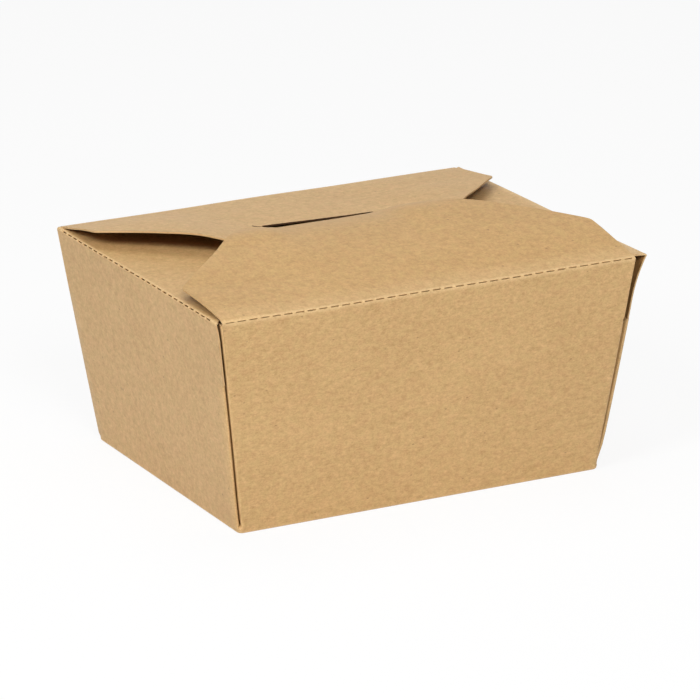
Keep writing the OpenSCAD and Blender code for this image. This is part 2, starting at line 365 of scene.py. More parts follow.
def base_levels():
    """Height and half sizes of the rings in the base's fold."""
    middle_z = HALF + BASE_FOLD_R
    wall_z = middle_z - BASE_FOLD_R * math.cos(BASE_TURN)
    for k in range(BASE_ROWS + 1):
        t = BASE_TURN * k / BASE_ROWS
        inset = BASE_FOLD_R * (math.sin(BASE_TURN) - math.sin(t))
        yield middle_z - BASE_FOLD_R * math.cos(t), plane_x(wall_z) - inset, plane_y(wall_z) - inset


levels = list(base_levels()) + [(z, plane_x(z), plane_y(z)) for z in pinch_levels + wall_levels]
print(f"{len(levels)} rings from the base to the top of the webs")


def new_sheet():
    """An empty mesh with a layer for the rub and painted highlight of the folds."""
    sheet = bmesh.new()
    return sheet, sheet.verts.layers.float.new("rub_and_highlight")


def add_tray(sheet, rub_and_highlight):
    """The base and the walls up to the top of the webs."""
    rows = []
    for number, (z, half_x, half_y) in enumerate(levels):
        points, kinds = ring(z, half_x, half_y)
        row = [sheet.verts.new(p * MM) for p in points]
        for vertex, kind in zip(row, kinds):
            vertex[rub_and_highlight] = max(RUB_AND_HIGHLIGHT[kind], BASE_RUB_AND_HIGHLIGHT if number <= BASE_ROWS else 0.0)
        rows.append(row)
    sheet.faces.new(rows[0])
    count = len(kinds)
    for i in range(len(rows) - 1):
        for j in range(count):
            k = (j + 1) % count
            free = "bend" in (kinds[j], kinds[k]) and levels[i][0] >= WEB_TIP_Z
            if not free:
                sheet.faces.new((rows[i][j], rows[i][k], rows[i + 1][k], rows[i + 1][j]))


# %% [markdown]
# ## Folds as small arcs
# A crease in board is never sharp: the outside goes round a radius of about its own thickness. In the
# plane across a fold, two directions and a corner give the arc. The same helper serves every fold.

# %% Fold arc
RIM_FOLD_R = 0.45
ARC_STEPS = 6


def arc_points(corner, come, go, radius, steps=ARC_STEPS):
    """Points of a fold in its own plane, coming along one direction and going along another."""
    turn = come.angle(go)
    reach = radius * math.tan(turn / 2)
    start = corner - come * reach
    across = (go - come * come.dot(go)).normalized()
    middle = start + across * radius
    steps_at = [turn * k / steps for k in range(steps + 1)]
    return [middle - across * radius * math.cos(t) + come * radius * math.sin(t) for t in steps_at]


# %% [markdown]
# Above the webs each wall and its flap is a grid of its own, made of rows from the wall up over the fold
# and along the flap. Where a fold has a cut, the faces of a few of its rows are left out.

# %% Grid of rows
LONG_CUT_ROWS = (2, 3)
SIDE_CUT_ROWS = (1, 2, 3)


def steps(start, stop, count):
    """Even steps from start to stop, both of them included."""
    return [mix(start, stop, k / count) for k in range(count + 1)]


def add_grid(sheet, rub_and_highlight, rows, leave_out=lambda i, j: False):
    """Faces between rows of (point in mm, rub and painted highlight); leave_out says which are holes."""
    lines = []
    for row in rows:
        line = []
        for point, worn_and_highlit in row:
            vertex = sheet.verts.new(point * MM)
            vertex[rub_and_highlight] = worn_and_highlit
            line.append(vertex)
        lines.append(line)
    for i in range(len(lines) - 1):
        for j in range(len(lines[i]) - 1):
            if not leave_out(i, j):
                sheet.faces.new((lines[i][j], lines[i][j + 1], lines[i + 1][j + 1], lines[i + 1][j]))


def cut_here(first_row, rows, columns, cuts):
    """Says which faces are cuts, in the given rows of a fold that starts at first_row."""
    def is_cut(i, j):
        middle = (columns[j] + columns[j + 1]) / 2
        return i - first_row in rows and any(a < middle < b for a, b in zip(cuts[::2], cuts[1::2]))
    return is_cut


# %% [markdown]
# ## How the back flap arches
# The long flaps are wider than the box, so that they bow up: each rises like a sine from its fold. The
# lock holds the middle of the back flap down, while its sides stay high. The photograph shows a twist
# too, which leaves the back flap higher at the left, and the front flap presses it down before the slot.

# %% Height of the back flap
FRONT_LEN = 66.7
BACK_LEN = 60.0
BACK_ARCH = 5.8
BACK_MID = 0.577
MID_HALF = 20.0
SIDE_AT = 46.0
ARCH_PHASE = math.radians(64)
TWIST_AT = 40.0
FLATTENED = 0.8
BACK_TWIST = 0.85
BACK_TWIST_IN, BACK_TWIST_OUT = 22.0, 12.0
BACK_FLAT_LEFT, BACK_FLAT_RIGHT = 46.0, 38.0
PRESS = 0.85
PRESS_HALF, PRESS_FADE = 11.0, 9.0
PRESS_FROM, PRESS_IN = 39.0, 2.0
PRESS_TO, PRESS_OUT = 47.0, 12.0
slot_at = RIM_W - FRONT_LEN


def tilt(x):
    """From -1 at the left to 1 at the right, for the twists."""
    return max(-1, min(1, x / TWIST_AT))


def back_rise(x, d):
    """Height of the back flap above the rim at a distance from its fold, without its twist."""
    share = mix(BACK_MID, 1, ease((abs(x) - MID_HALF) / (SIDE_AT - MID_HALF)))
    return BACK_ARCH * share * math.sin(min(math.pi / 2, ARCH_PHASE * d / slot_at)) / math.sin(ARCH_PHASE)


def bent_back(x, d):
    """The back flap as it lies: twisted, and pressed down by the front flap in front of the slot."""
    flat_from = BACK_FLAT_LEFT if x < 0 else BACK_FLAT_RIGHT
    fade = ease(d / BACK_TWIST_IN) * (1 - FLATTENED * ease((d - flat_from) / BACK_TWIST_OUT))
    under = 1 - ease((abs(x) - PRESS_HALF) / PRESS_FADE)
    press = PRESS * under * ease((d - PRESS_FROM) / PRESS_IN) * (1 - ease((d - PRESS_TO) / PRESS_OUT))
    return back_rise(x, d) - BACK_TWIST * tilt(x) * fade - press


print(f"the back flap's sides stand {bent_back(-SIDE_AT, slot_at):.1f} mm above the rim at the slot")

# %% [markdown]
# ## How the front flap arches
# The front flap rests on the back flap's high sides, and its middle dips towards the slot, where the
# tongue pulls it down. So there are two profiles, one for the sides and one for the middle, and the
# place across the flap mixes them. It is twisted the other way, higher at the right, and its left wing
# lifts off quickly from its fold.

# %% Height of the front flap
CROWN_AT = 58.0
DIP_FROM = 48.0
CROWN_GAP = 0.6
LAP_GAP = 0.35
ROOT_ARCH = 5.4
ROOT_RISE = 3.01
MIDDLE_CROWN = 5.9
MIDDLE_AT = 50.0
MIDDLE_END = 2.9
MIDDLE_DIP_FROM = 46.0
MIDDLE_DIP_POWER = 1.9
MIDDLE_HALF, MIDDLE_FADE = 14.0, 11.0
MIDDLE_IN = 30.0
FRONT_TWIST = 0.75
FRONT_TWIST_IN, FRONT_TWIST_OUT = 25.0, 11.0
FRONT_FLAT_LEFT, FRONT_FLAT_RIGHT = 46.0, 54.0
LIFT = 0.75
LIFT_AT, LIFT_FADE = 40.0, 24.0
LIFT_IN = 1.2
LIFT_TO, LIFT_OUT = 14.0, 14.0
DROP = 0.4
DROP_AT, DROP_FADE = 15.0, 20.0
DROP_IN = 25.0
DROP_TO, DROP_OUT = 44.0, 9.0
crown = ROOT_ARCH / math.sin(ARCH_PHASE) + BOARD + CROWN_GAP
root_rise = ROOT_RISE + BOARD + LAP_GAP


def side_profile(d):
    """Height of the front flap along its sides, which rest on the back flap's high sides."""
    arch = crown * math.sin(math.pi / 2 * d / CROWN_AT)
    dip = crown * math.sin(math.pi / 2 * FRONT_LEN / CROWN_AT) - root_rise
    return arch - dip * (max(0, d - DIP_FROM) / (FRONT_LEN - DIP_FROM)) ** 2


def middle_profile(d):
    """Height of the front flap along its middle, which the tongue pulls down to the slot."""
    arch = MIDDLE_CROWN * math.sin(math.pi / 2 * min(1, d / MIDDLE_AT))
    dip = MIDDLE_CROWN - MIDDLE_END
    past = max(0, d - MIDDLE_DIP_FROM) / (FRONT_LEN - MIDDLE_DIP_FROM)
    return arch - dip * past**MIDDLE_DIP_POWER


def bent_front(x, d):
    """The front flap as it lies, with its twist and what its left side does."""
    high = ease((abs(x) - MIDDLE_HALF) / MIDDLE_FADE)
    rise = mix(middle_profile(d), side_profile(d), max(high, 1 - ease(d / MIDDLE_IN)))
    flat_from = FRONT_FLAT_LEFT if x < 0 else FRONT_FLAT_RIGHT
    fade = ease(d / FRONT_TWIST_IN) * (1 - FLATTENED * ease((d - flat_from) / FRONT_TWIST_OUT))
    lift = LIFT * ease((-x - LIFT_AT) / LIFT_FADE)
    lift = lift * (1 - math.exp(-d / LIFT_IN)) * (1 - ease((d - LIFT_TO) / LIFT_OUT))
    drop = DROP * ease((-x - DROP_AT) / DROP_FADE)
    drop = drop * ease(d / DROP_IN) * (1 - ease((d - DROP_TO) / DROP_OUT))
    return rise + FRONT_TWIST * tilt(x) * fade + lift - drop


print(f"the lid is highest {max(bent_front(50, d) for d in range(70)):.1f} mm above the rim, at the right")

# %% [markdown]
# ## Outline of the long flaps
# Beside its fold a long flap spreads to the tips of its wings, a little past the box, and then tapers
# to its end. The tips are rounded by a soft minimum of the two slanted edges. The front flap's left
# edge lies a little further in, and its end falls a little short beside the tongue.

# %% Outline of a long flap
BACK_END = 31.0
SHOULDER = 25.0
WING_DEPTH = 24.5
WING_HALF = 64.5
WING_ROUND = 1.2
SLIM = 0.9
SLIM_FROM, SLIM_IN = 25.0, 20.0
BITE = 0.9
BITE_FROM, BITE_TO = -19.5, -9.8
BITE_EASE = 2.5
BITE_REACH = 10.0


def soft_min(a, b, r):
    """The smaller of two values, rounded where they cross."""
    return min(a, b) - max(0, r - abs(a - b)) ** 2 / (4 * r)


def flap_half(d, root, length, end):
    """Half width of a long flap: out to the wing's tip, then in to its end."""
    side = mix(root, WING_HALF, d / WING_DEPTH)
    return soft_min(side, mix(WING_HALF, end, (d - WING_DEPTH) / (length - WING_DEPTH)), WING_ROUND)


def bite(x):
    """How far the front flap's end falls short at a place: only beside the tongue, at the left."""
    return BITE * ease((x - BITE_FROM) / BITE_EASE) * ease((BITE_TO - x) / BITE_EASE)


# %% [markdown]
# A long wall's rows are flat, its fold is an arc, and its flap's rows follow the outline and the height.
# The arc ends in the direction in which the flap sets off, column by column, so wall and flap meet
# without a kink.

# %% Rows of a long wall and its flap
FLARE_LONG = math.atan2(rim_y - base_y, rim_z - base_z)
SLOPE_STEP = 0.5
above_web = [WEB_H, WEB_H + STEP_OVER / LEFT_HASTE, WEB_H + STEP_OVER]
FREE_FROM = 48.0


def long_wall_rows(sy, heights):
    """The flat rows of a long wall above the webs."""
    return [[(Vector((wall_x(u, sy, z), sy * plane_y(z), z)), 0.0) for u in long_columns] for z in heights]


def fold_rows(sy, height):
    """The rows of a long fold: the arc in every column has its own end slope."""
    columns = []
    for u in long_columns:
        x = wall_x(u, sy, rim_z)
        slope = math.atan2(height(x, SLOPE_STEP) - height(x, 0), SLOPE_STEP)
        come = Vector((math.sin(FLARE_LONG), math.cos(FLARE_LONG)))
        go = Vector((-math.cos(slope), math.sin(slope)))
        arc = arc_points(Vector((rim_y, rim_z)), come, go, RIM_FOLD_R)
        # The arc of the fold gets the full rub and painted highlight.
        columns.append([(Vector((x, sy * p.x, p.y)), 1.0) for p in arc])
    return [list(row) for row in zip(*columns)]


def flap_rows(sy, distances, length, end, height, falls_short=lambda x: 0.0):
    """Rows of a long flap; falls_short says how much its end is cut back at a place."""
    rows = []
    for d in distances:
        row = []
        for u in long_columns:
            root = long_end(1 if u > 0 else -1, sy, rim_z)
            slim = SLIM * ease((d - SLIM_FROM) / SLIM_IN) if u < 0 and sy < 0 else 0
            x = u * (flap_half(d, root, length, end) - slim)
            at = d - falls_short(x) * ease((d - length + BITE_REACH) / BITE_REACH)
            row.append((Vector((x, sy * (rim_y - at), rim_z + height(x, at))), 0.0))
        rows.append(row)
    return rows


# %% [markdown]
# ## The side walls and their flaps
# The left and right flaps fold in first and lie flat. Beside their folds they are cut back, so that
# the long flaps can pass over them, and their free corners are round.

# %% Outline of a side flap
SIDE_LEN = 45.0
SIDE_END = 37.0
SIDE_CORNER_R = 7.0
CUT_BACK = 2.2


def corner_loss(to_end, radius):
    """How much a round corner takes off a half width, this far before the end."""
    over = min(max(radius - to_end, 0.0), radius)
    return radius - math.sqrt(radius**2 - over**2)


def side_flap_half(d, root):
    """Half width of a side flap: cut back beside its fold, then in to its end."""
    if d <= CUT_BACK:
        return root - d
    half = mix(root - CUT_BACK, SIDE_END, (d - CUT_BACK) / (SIDE_LEN - CUT_BACK))
    return half - corner_loss(SIDE_LEN - d, SIDE_CORNER_R)


# %% [markdown]
# A side flap rises by a millimetre towards its end. Its rows are closer together beside the fold and
# in the round corners, where the outline turns.

# %% Short walls
SIDE_RISE = math.asin(1 / SIDE_LEN)
FLARE_SHORT = math.atan2(rim_x - base_x, rim_z - base_z)
SIDE_FREE_ROWS = 8
beside_fold = [1, 1.8, 2.6, 3.4, 4.2, 5, 6]
along_flap = [8, 13, 18, 23, 28, 33, 38]
round_end = [40, 42, 43.4, 44.4, 44.8, SIDE_LEN]


def short_wall_row(sx, z):
    """One row of a short wall."""
    row = []
    for v in side_columns:
        y = wall_y(v, sx, z)
        row.append(Vector((sx * (plane_x(z) + wall_spread(sx, y, z)), y, z)))
    return row


def add_short_wall(sheet, rub_and_highlight, sx):
    """A short wall above the webs, its fold and its flap."""
    come = Vector((math.sin(FLARE_SHORT), math.cos(FLARE_SHORT)))
    go = Vector((-math.cos(SIDE_RISE), math.sin(SIDE_RISE)))
    arc = arc_points(Vector((0, rim_z)), come, go, RIM_FOLD_R)
    heights = above_web + steps(FREE_FROM, arc[0].y, SIDE_FREE_ROWS)
    rows = [[(p, 0.0) for p in short_wall_row(sx, z)] for z in heights]
    edge = short_wall_row(sx, rim_z)
    for p in arc[1:]:
        # The arc of the fold gets the full rub and painted highlight.
        rows.append([(Vector((e.x + sx * p.x, e.y, p.y)), 1.0) for e in edge])
    first = len(rows) - ARC_STEPS - 1
    for d in beside_fold + along_flap + round_end:
        row = []
        for v in side_columns:
            root = abs(wall_y(1 if v > 0 else -1, sx, rim_z))
            place = Vector((sx * (rim_x - d), v * side_flap_half(d, root), rim_z + d * math.sin(SIDE_RISE)))
            row.append((place, 0.0))
        rows.append(row)
    add_grid(sheet, rub_and_highlight, rows, cut_here(first, SIDE_CUT_ROWS, side_columns, side_cuts))


# %% [markdown]
# ## From an open surface to board
# Solidify gives the sheet its thickness on both sides of the middle. It can also give the cut edge and
# the inside their own materials, which is just what board has: brown outside, pale raw edges and a thin
# liner against grease inside. The points share a slow noise, so that no panel is dead flat, and since
# every piece uses the same noise, neighbours still meet. The noise module picks its own seed from the
# clock, so it is given a fixed one here, and every run makes the same box.

# %% Board from a sheet
WAVE_MM = 0.22
WAVE_LENGTH = 38.0
WAVE_FADE = 12
WAVE_AT = Vector((7.3, 2.1, 4.9))
WAVE_SEED = 3
WELD = 0.00001
SMOOTH_UP_TO = math.radians(38)
EDGE_SLOT, INSIDE_SLOT = 1, 2
noise.seed_set(WAVE_SEED)


def wave(vertex):
    """A slow unevenness of the whole box, nothing at the base."""
    place = vertex.co / (WAVE_LENGTH * MM)
    rise = ease(vertex.co.z / MM / WAVE_FADE)
    vertex.co += noise.noise_vector(place + WAVE_AT) * WAVE_MM * MM * rise


def turn_right_side_out(sheet, outward_at, outward):
    """Makes the faces look outward, judged by the one nearest to a place in mm."""
    bmesh.ops.recalc_face_normals(sheet, faces=sheet.faces)
    sheet.faces.ensure_lookup_table()
    nearest = min(sheet.faces, key=lambda f: (f.calc_center_median() - Vector(outward_at) * MM).length)
    if nearest.normal.dot(Vector(outward)) < 0:
        bmesh.ops.reverse_faces(sheet, faces=sheet.faces)


def finish_board(name, sheet, outward_at, outward):
    """Welds a sheet, turns it right side out and gives it the board's thickness."""
    bmesh.ops.remove_doubles(sheet, verts=sheet.verts, dist=WELD)
    bmesh.ops.delete(sheet, geom=[v for v in sheet.verts if not v.link_faces], context="VERTS")
    turn_right_side_out(sheet, outward_at, outward)
    for vertex in sheet.verts:
        wave(vertex)
    mesh = bpy.data.meshes.new(name)
    sheet.to_mesh(mesh)
    sheet.free()
    board = bpy.data.objects.new(name, mesh)
    bpy.context.collection.objects.link(board)
    thicken = board.modifiers.new("thickness", "SOLIDIFY")
    thicken.thickness = BOARD * MM
    thicken.offset = 0
    thicken.use_quality_normals = True
    thicken.material_offset = INSIDE_SLOT
    thicken.material_offset_rim = EDGE_SLOT
    return board


def apply_modifiers(board):
    """Keeps what the modifiers made as the object's own mesh, smooth but for the cut edges."""
    depsgraph = bpy.context.evaluated_depsgraph_get()
    made = bpy.data.meshes.new_from_object(board.evaluated_get(depsgraph))
    board.modifiers.clear()
    board.data = made
    made.shade_smooth()
    made.set_sharp_from_angle(angle=SMOOTH_UP_TO)
    print(f"{board.name}: {len(made.vertices)} points, {len(made.polygons)} faces")


# %% [markdown]
# ## The three pieces
# One sheet makes the real box, but its front flap turns. So the model has the tray with three of its
# flaps, the front flap, and a narrow strip between them. The strip takes in
# the perforated fold and a little flat board on both sides, so that its ends meet the others flush.
# The folds of both long walls are made first, because they say where the flat board starts.

# %% Long folds and the seam
SEAM_BELOW = 1.0
SEAM_AFTER = 1.3
WING_FROM, WING_TO = 22, 29
front_fold = fold_rows(-1, bent_front)
back_fold = fold_rows(1, bent_back)
seam_z = front_fold[0][0][0].z - SEAM_BELOW
print(f"the strip starts {seam_z:.1f} mm up the front wall")


def graded(start, *stages):
    """Distances from start on, in stages of (end, number of rows)."""
    distances = [start]
    for end, count in stages:
        distances += steps(start, end, count)[1:]
        start = end
    return distances


# %% [markdown]
# ## The tray
# The tray is the loft, the front wall up to the seam, the back wall with its flap, and the two short
# walls. One more strip is the lip: the front wall's left end goes on turning in above the web, where it
# shows behind the slit. The back flap's rows are close together at its wings and where the slot will be.

# %% Tray
FREE_ROWS = 5
LIP_BELOW_RIM = 0.5
SLOT_FROM, SLOT_TO = 38, 42


def add_lip(sheet, rub_and_highlight):
    """The front wall's left end above the web, folded in like the layers below it."""
    rows = []
    folded = [(a, b) for kind, a, b in webbed_line(LEFT_CORNER, WEB_H) if kind == "long"]
    end = [(LEFT_CORNER["end_in"], 0)] + folded
    for z in above_web + steps(FREE_FROM, rim_z - LIP_BELOW_RIM, FREE_ROWS):
        rows.append([(Vector((a - plane_x(z), b - plane_y(z), z)), RUB_AND_HIGHLIGHT["long"]) for a, b in end])
    add_grid(sheet, rub_and_highlight, rows)


sheet, rub_and_highlight = new_sheet()
add_tray(sheet, rub_and_highlight)
add_lip(sheet, rub_and_highlight)
add_grid(sheet, rub_and_highlight, long_wall_rows(-1, above_web + steps(FREE_FROM, seam_z, FREE_ROWS)))
back_top = back_fold[0][0][0].z
rows = long_wall_rows(1, above_web + steps(FREE_FROM, back_top, FREE_ROWS)[:-1]) + back_fold
first_back = len(rows) - ARC_STEPS - 1
after_fold = rim_y - back_fold[-1][0][0].y
back_distances = graded(
    after_fold, (WING_FROM, 11), (WING_TO, 14), (SLOT_FROM, 5), (SLOT_TO, 8), (BACK_LEN, 9))[1:]
rows += flap_rows(1, back_distances, BACK_LEN, BACK_END, bent_back)
add_grid(sheet, rub_and_highlight, rows, cut_here(first_back, LONG_CUT_ROWS, long_columns, long_cuts))
for sx in (-1, 1):
    add_short_wall(sheet, rub_and_highlight, sx)
tray = finish_board("tray_and_back_flap", sheet, (0, 0, HALF), (0, 0, -1))

# %% [markdown]
# ## The tongue
# The tongue turns down out of the middle of the front flap's last row, over a small round fold. It
# narrows towards its end and has round corners. The rows are closer together where its outline turns.

# %% Tongue
TONGUE_HALF = 15.5
TONGUE_TIP = 13.0
TONGUE_DEPTH = 9.0
TONGUE_CORNER_R = 4.0
TONGUE_FOLD_R = 0.6
TONGUE_LEAN = 0.5
TONGUE_IN = 0.8
# The top of the tongue's fold is painted paler too: rubbed fibres and a painted highlight.
TONGUE_RUB_AND_HIGHLIGHT, TONGUE_RUB_AND_HIGHLIGHT_TO = 0.5, 1
tongue_fold = [0, 0.3, 0.8, 1.5]
tongue_flat = [2.5, 3.5, 4.5, 5.2]
tongue_round = [6, 6.8, 7.6, 8.2, 8.6, 8.85, TONGUE_DEPTH]
tongue_columns = [u for u in long_columns if abs(u) <= TONGUE_SHARE]


def tongue_half(depth):
    """Half width of the tongue at a depth below the flap."""
    half = mix(TONGUE_HALF, TONGUE_TIP, depth / TONGUE_DEPTH)
    return half - corner_loss(TONGUE_DEPTH - depth, TONGUE_CORNER_R)


def tongue_rows():
    """The tongue turns down out of the flap's last row and narrows to its round corners."""
    last_row = flap_rows(-1, [FRONT_LEN - HALF], FRONT_LEN, SHOULDER, bent_front, bite)[0]
    root = [p for (p, _), u in zip(last_row, long_columns) if abs(u) <= TONGUE_SHARE]
    rows = []
    for depth in tongue_fold + tongue_flat + tongue_round:
        sink = TONGUE_FOLD_R * (1 - math.exp(-depth / TONGUE_FOLD_R))
        worn_and_highlit = TONGUE_RUB_AND_HIGHLIGHT if depth < TONGUE_RUB_AND_HIGHLIGHT_TO else 0.0
        row = []
        for p, u in zip(root, tongue_columns):
            x = u / TONGUE_SHARE * mix(abs(root[-1].x), tongue_half(depth), ease(depth / TONGUE_IN))
            row.append((Vector((x, p.y + sink * TONGUE_LEAN, p.z - depth)), worn_and_highlit))
        rows.append(row)
    return rows


# %% [markdown]
# ## The front flap
# The front flap is the panel that hands press and open. It takes less sheen than the back flap, so a
# painted shade makes its colour a touch warmer and darker than the rest. A second layer of its mesh says
# where the painted shade goes, from nothing at the fold.

# %% Front flap with its tongue
# Painted shade on the front flap: a mesh layer grows to full over this many mm from the fold.
PAINTED_LID_SHADE_FROM_FOLD = 9.0
front_distances = graded(SEAM_AFTER, (WING_FROM, 12), (WING_TO, 14), (FRONT_LEN - HALF, 24))
sheet, rub_and_highlight = new_sheet()
add_grid(sheet, rub_and_highlight, flap_rows(-1, front_distances, FRONT_LEN, SHOULDER, bent_front, bite))
add_grid(sheet, rub_and_highlight, tongue_rows())
painted_lid_shade = sheet.verts.layers.float.new("painted_lid_shade")
for vertex in sheet.verts:
    vertex[painted_lid_shade] = ease((vertex.co.y / MM + rim_y - SEAM_AFTER) / PAINTED_LID_SHADE_FROM_FOLD)
on_the_flap = (0, -30, WALL_H + 6)
front_flap = finish_board("front_flap_board", sheet, on_the_flap, (0, 0, 1))
print(f"the tongue goes {TONGUE_DEPTH:.1f} mm down and is {2 * TONGUE_HALF:.1f} mm wide")

# %% [markdown]
# ## The fold strip
# The strip repeats the last row of the wall and the first row of the flap, so nothing shows at the
# seams, and the whole perforation lies in one piece.

# %% Fold strip
sheet, rub_and_highlight = new_sheet()
below = long_wall_rows(-1, [seam_z])
beyond = flap_rows(-1, [SEAM_AFTER], FRONT_LEN, SHOULDER, bent_front)
strip_rows = below + front_fold + beyond
add_grid(sheet, rub_and_highlight, strip_rows, cut_here(1, LONG_CUT_ROWS, long_columns, long_cuts))
crease = finish_board("front_fold_strip", sheet, (0, -rim_y, seam_z), (0, -1, 0))

# %% [markdown]
# ## The slot
# The tongue locks in a slot that was die cut through the back flap: straight, with a hook at the left
# and a small round hole at the right where the cut stops tearing. The outline goes once round all
# three, and a cutter of that outline is taken from the thick board later.

# %% Slot outline
SLOT_FRONT_PLAY = 0.6
SLOT_BACK_PLAY = 1.1
SLOT_END_PLAY = 0.6
SLOT_EXTRA = 2.6
HOOK_R = 2.4
HOOK_W = 0.6
HOOK_INNER_AT, HOOK_OUTER_AT, HOOK_TIP_AT = 268, 262, 180
HOOK_STEPS = 10
RELIEF_R = 1.2
RELIEF_STEPS = 16
tongue_y = -RIM_W / 2 + FRONT_LEN
slot_front = tongue_y - BOARD - SLOT_FRONT_PLAY
slot_back = tongue_y + SLOT_BACK_PLAY
slot_left = -TONGUE_HALF - SLOT_END_PLAY - SLOT_EXTRA
slot_right = TONGUE_HALF + SLOT_END_PLAY
print(f"slot {slot_right - slot_left:.1f} mm long, {slot_back - slot_front:.2f} mm wide")


def turned(middle, radius, start, stop, count):
    """Points along an arc, angles in degrees."""
    angles = [math.radians(a) for a in steps(start, stop, count)]
    return [middle + Vector((math.cos(a), math.sin(a))) * radius for a in angles]


def slot_outline():
    """The straight slot, the round hole at its right end and the hook at its left end."""
    middle_y = (slot_front + slot_back) / 2
    hook_at = Vector((slot_left, middle_y + HOOK_R))
    relief = Vector((slot_right, middle_y))
    meets_at = math.degrees(math.asin((slot_back - slot_front) / 2 / RELIEF_R))
    outline = [Vector((slot_left, slot_front))]
    outline += turned(relief, RELIEF_R, meets_at - 180, 180 - meets_at, RELIEF_STEPS)
    outline.append(Vector((slot_left, slot_back)))
    outline += turned(hook_at, HOOK_R - HOOK_W / 2, HOOK_INNER_AT, HOOK_TIP_AT, HOOK_STEPS)
    outline += turned(hook_at, HOOK_R + HOOK_W / 2, HOOK_TIP_AT, HOOK_OUTER_AT, HOOK_STEPS)
    return outline


# %% [markdown]
# The cutter is a prism: the outline at two heights, one below the back flap and one above it, joined by
# walls. It stays clear of the base and of everything else that it shouldn't cut.

# %% Slot cutter
CUTTER_FROM, CUTTER_TO = 0.5, 12


def prism(name, outline, low, high):
    """A closed solid with the outline as its floor and its roof."""
    cutter = bmesh.new()
    rings = [[cutter.verts.new(Vector((p.x, p.y, z)) * MM) for p in outline] for z in (low, high)]
    cutter.faces.new(list(reversed(rings[0])))
    cutter.faces.new(rings[1])
    for k in range(len(outline)):
        n = (k + 1) % len(outline)
        cutter.faces.new((rings[0][k], rings[0][n], rings[1][n], rings[1][k]))
    bmesh.ops.recalc_face_normals(cutter, faces=cutter.faces)
    mesh = bpy.data.meshes.new(name)
    cutter.to_mesh(mesh)
    cutter.free()
    solid = bpy.data.objects.new(name, mesh)
    bpy.context.collection.objects.link(solid)
    return solid


slot_cutter = prism("slot_cutter", slot_outline(), WALL_H + CUTTER_FROM, WALL_H + CUTTER_TO)

# %% [markdown]
# ## Finish of the kraft board
# Kraft board is unbleached pulp. From close up it is a felt of long fibres that lie mostly along the
# sheet: pale and dark streaks a millimetre or two long, a soft cloudiness over centimetres and a few
# dark specks of bark. All of it is built from shader nodes, so a few helpers that add a node, link its
# inputs and hand back its output keep the material readable.

# %% Node helpers
def fill_socket(tree, socket, value):
    """Links a socket to another node's output, or gives it a plain value."""
    if isinstance(value, bpy.types.NodeSocket):
        tree.links.new(value, socket)
    else:
        socket.default_value = value


def add_node(tree, kind, inputs=(), **settings):
    """A new node with its settings, and its inputs by name or number."""
    node = tree.nodes.new(kind)
    for key, value in settings.items():
        setattr(node, key, value)
    for socket, value in dict(inputs).items():
        fill_socket(tree, node.inputs[socket], value)
    return node


def maths(tree, operation, a, b=0.0, c=0.0, clamp=False):
    """The output of a Math node."""
    node = add_node(tree, "ShaderNodeMath", {0: a, 1: b, 2: c}, operation=operation, use_clamp=clamp)
    return node.outputs[0]


def times(tree, vector, factors):
    """The output of a vector multiplied axis by axis."""
    node = add_node(tree, "ShaderNodeVectorMath", {0: vector, 1: factors}, operation="MULTIPLY")
    return node.outputs[0]


def colour(red, green, blue):
    """A colour as a picture program shows it, from 0 to 255, made linear for the shader."""
    channels = [c / 255 for c in (red, green, blue)]
    return tuple(c / 12.92 if c < 0.04045 else ((c + 0.055) / 1.055) ** 2.4 for c in channels) + (1,)


def blend_colour(tree, factor, a, b, mode="MIX"):
    """The output of a Mix node set to colours, whose inputs for colours are 0, 6 and 7."""
    node = add_node(tree, "ShaderNodeMix", data_type="RGBA", blend_type=mode)
    for socket, value in ((0, factor), (6, a), (7, b)):
        fill_socket(tree, node.inputs[socket], value)
    return node.outputs[2]


def noise_at(tree, place, scale, detail, roughness=0.5):
    """The output of a Noise Texture at a place."""
    inputs = {"Vector": place, "Scale": scale, "Detail": detail, "Roughness": roughness}
    return add_node(tree, "ShaderNodeTexNoise", inputs).outputs["Fac"]


def spread_from(tree, value, low, high):
    """Stretches the middle of a noise to the full range from 0 to 1."""
    inputs = {0: value, 1: low, 2: high, 3: 0.0, 4: 1.0}
    return add_node(tree, "ShaderNodeMapRange", inputs, clamp=True).outputs[0]


# %% [markdown]
# ## The grain
# The noise lives in the object's own space and is stretched along the grain of the sheet. On the short
# walls the sheet is turned up, so the grain there runs up the wall: the normal decides which axis is
# stretched.

# %% Grain
PER_METRE = 1 / MM
TURNED_UP = 0.7
DEEPER = 0.5


def grain_place(tree):
    """Object space in millimetres, with the first axis along the grain of the sheet."""
    here = add_node(tree, "ShaderNodeTexCoord")
    scaled = times(tree, here.outputs["Object"], (PER_METRE, PER_METRE, PER_METRE))
    parts = add_node(tree, "ShaderNodeSeparateXYZ", {0: scaled})
    facing = add_node(tree, "ShaderNodeSeparateXYZ", {0: here.outputs["Normal"]})
    turned_up = maths(tree, "GREATER_THAN", maths(tree, "ABSOLUTE", facing.outputs[0]), TURNED_UP)
    along = add_node(tree, "ShaderNodeMix", {0: turned_up, 2: parts.outputs[0], 3: parts.outputs[2]})
    up = add_node(tree, "ShaderNodeMix", {0: turned_up, 2: parts.outputs[2], 3: parts.outputs[0]})
    inputs = {0: along.outputs[0], 1: parts.outputs[1], 2: up.outputs[0]}
    return add_node(tree, "ShaderNodeCombineXYZ", inputs).outputs[0]


def stretched(tree, place, along, across):
    """A place scaled along the grain and across it; through the sheet the pattern is longer."""
    return times(tree, place, (along, DEEPER * across, across))


# %% [markdown]
# ## The tone of the board
# Four noises of different lengths stand for the fibres: streaks, a felt, fine hairs and patches. Slow
# clouds go over them. Each one gives its share of the tone between the darkest and the lightest fibre.

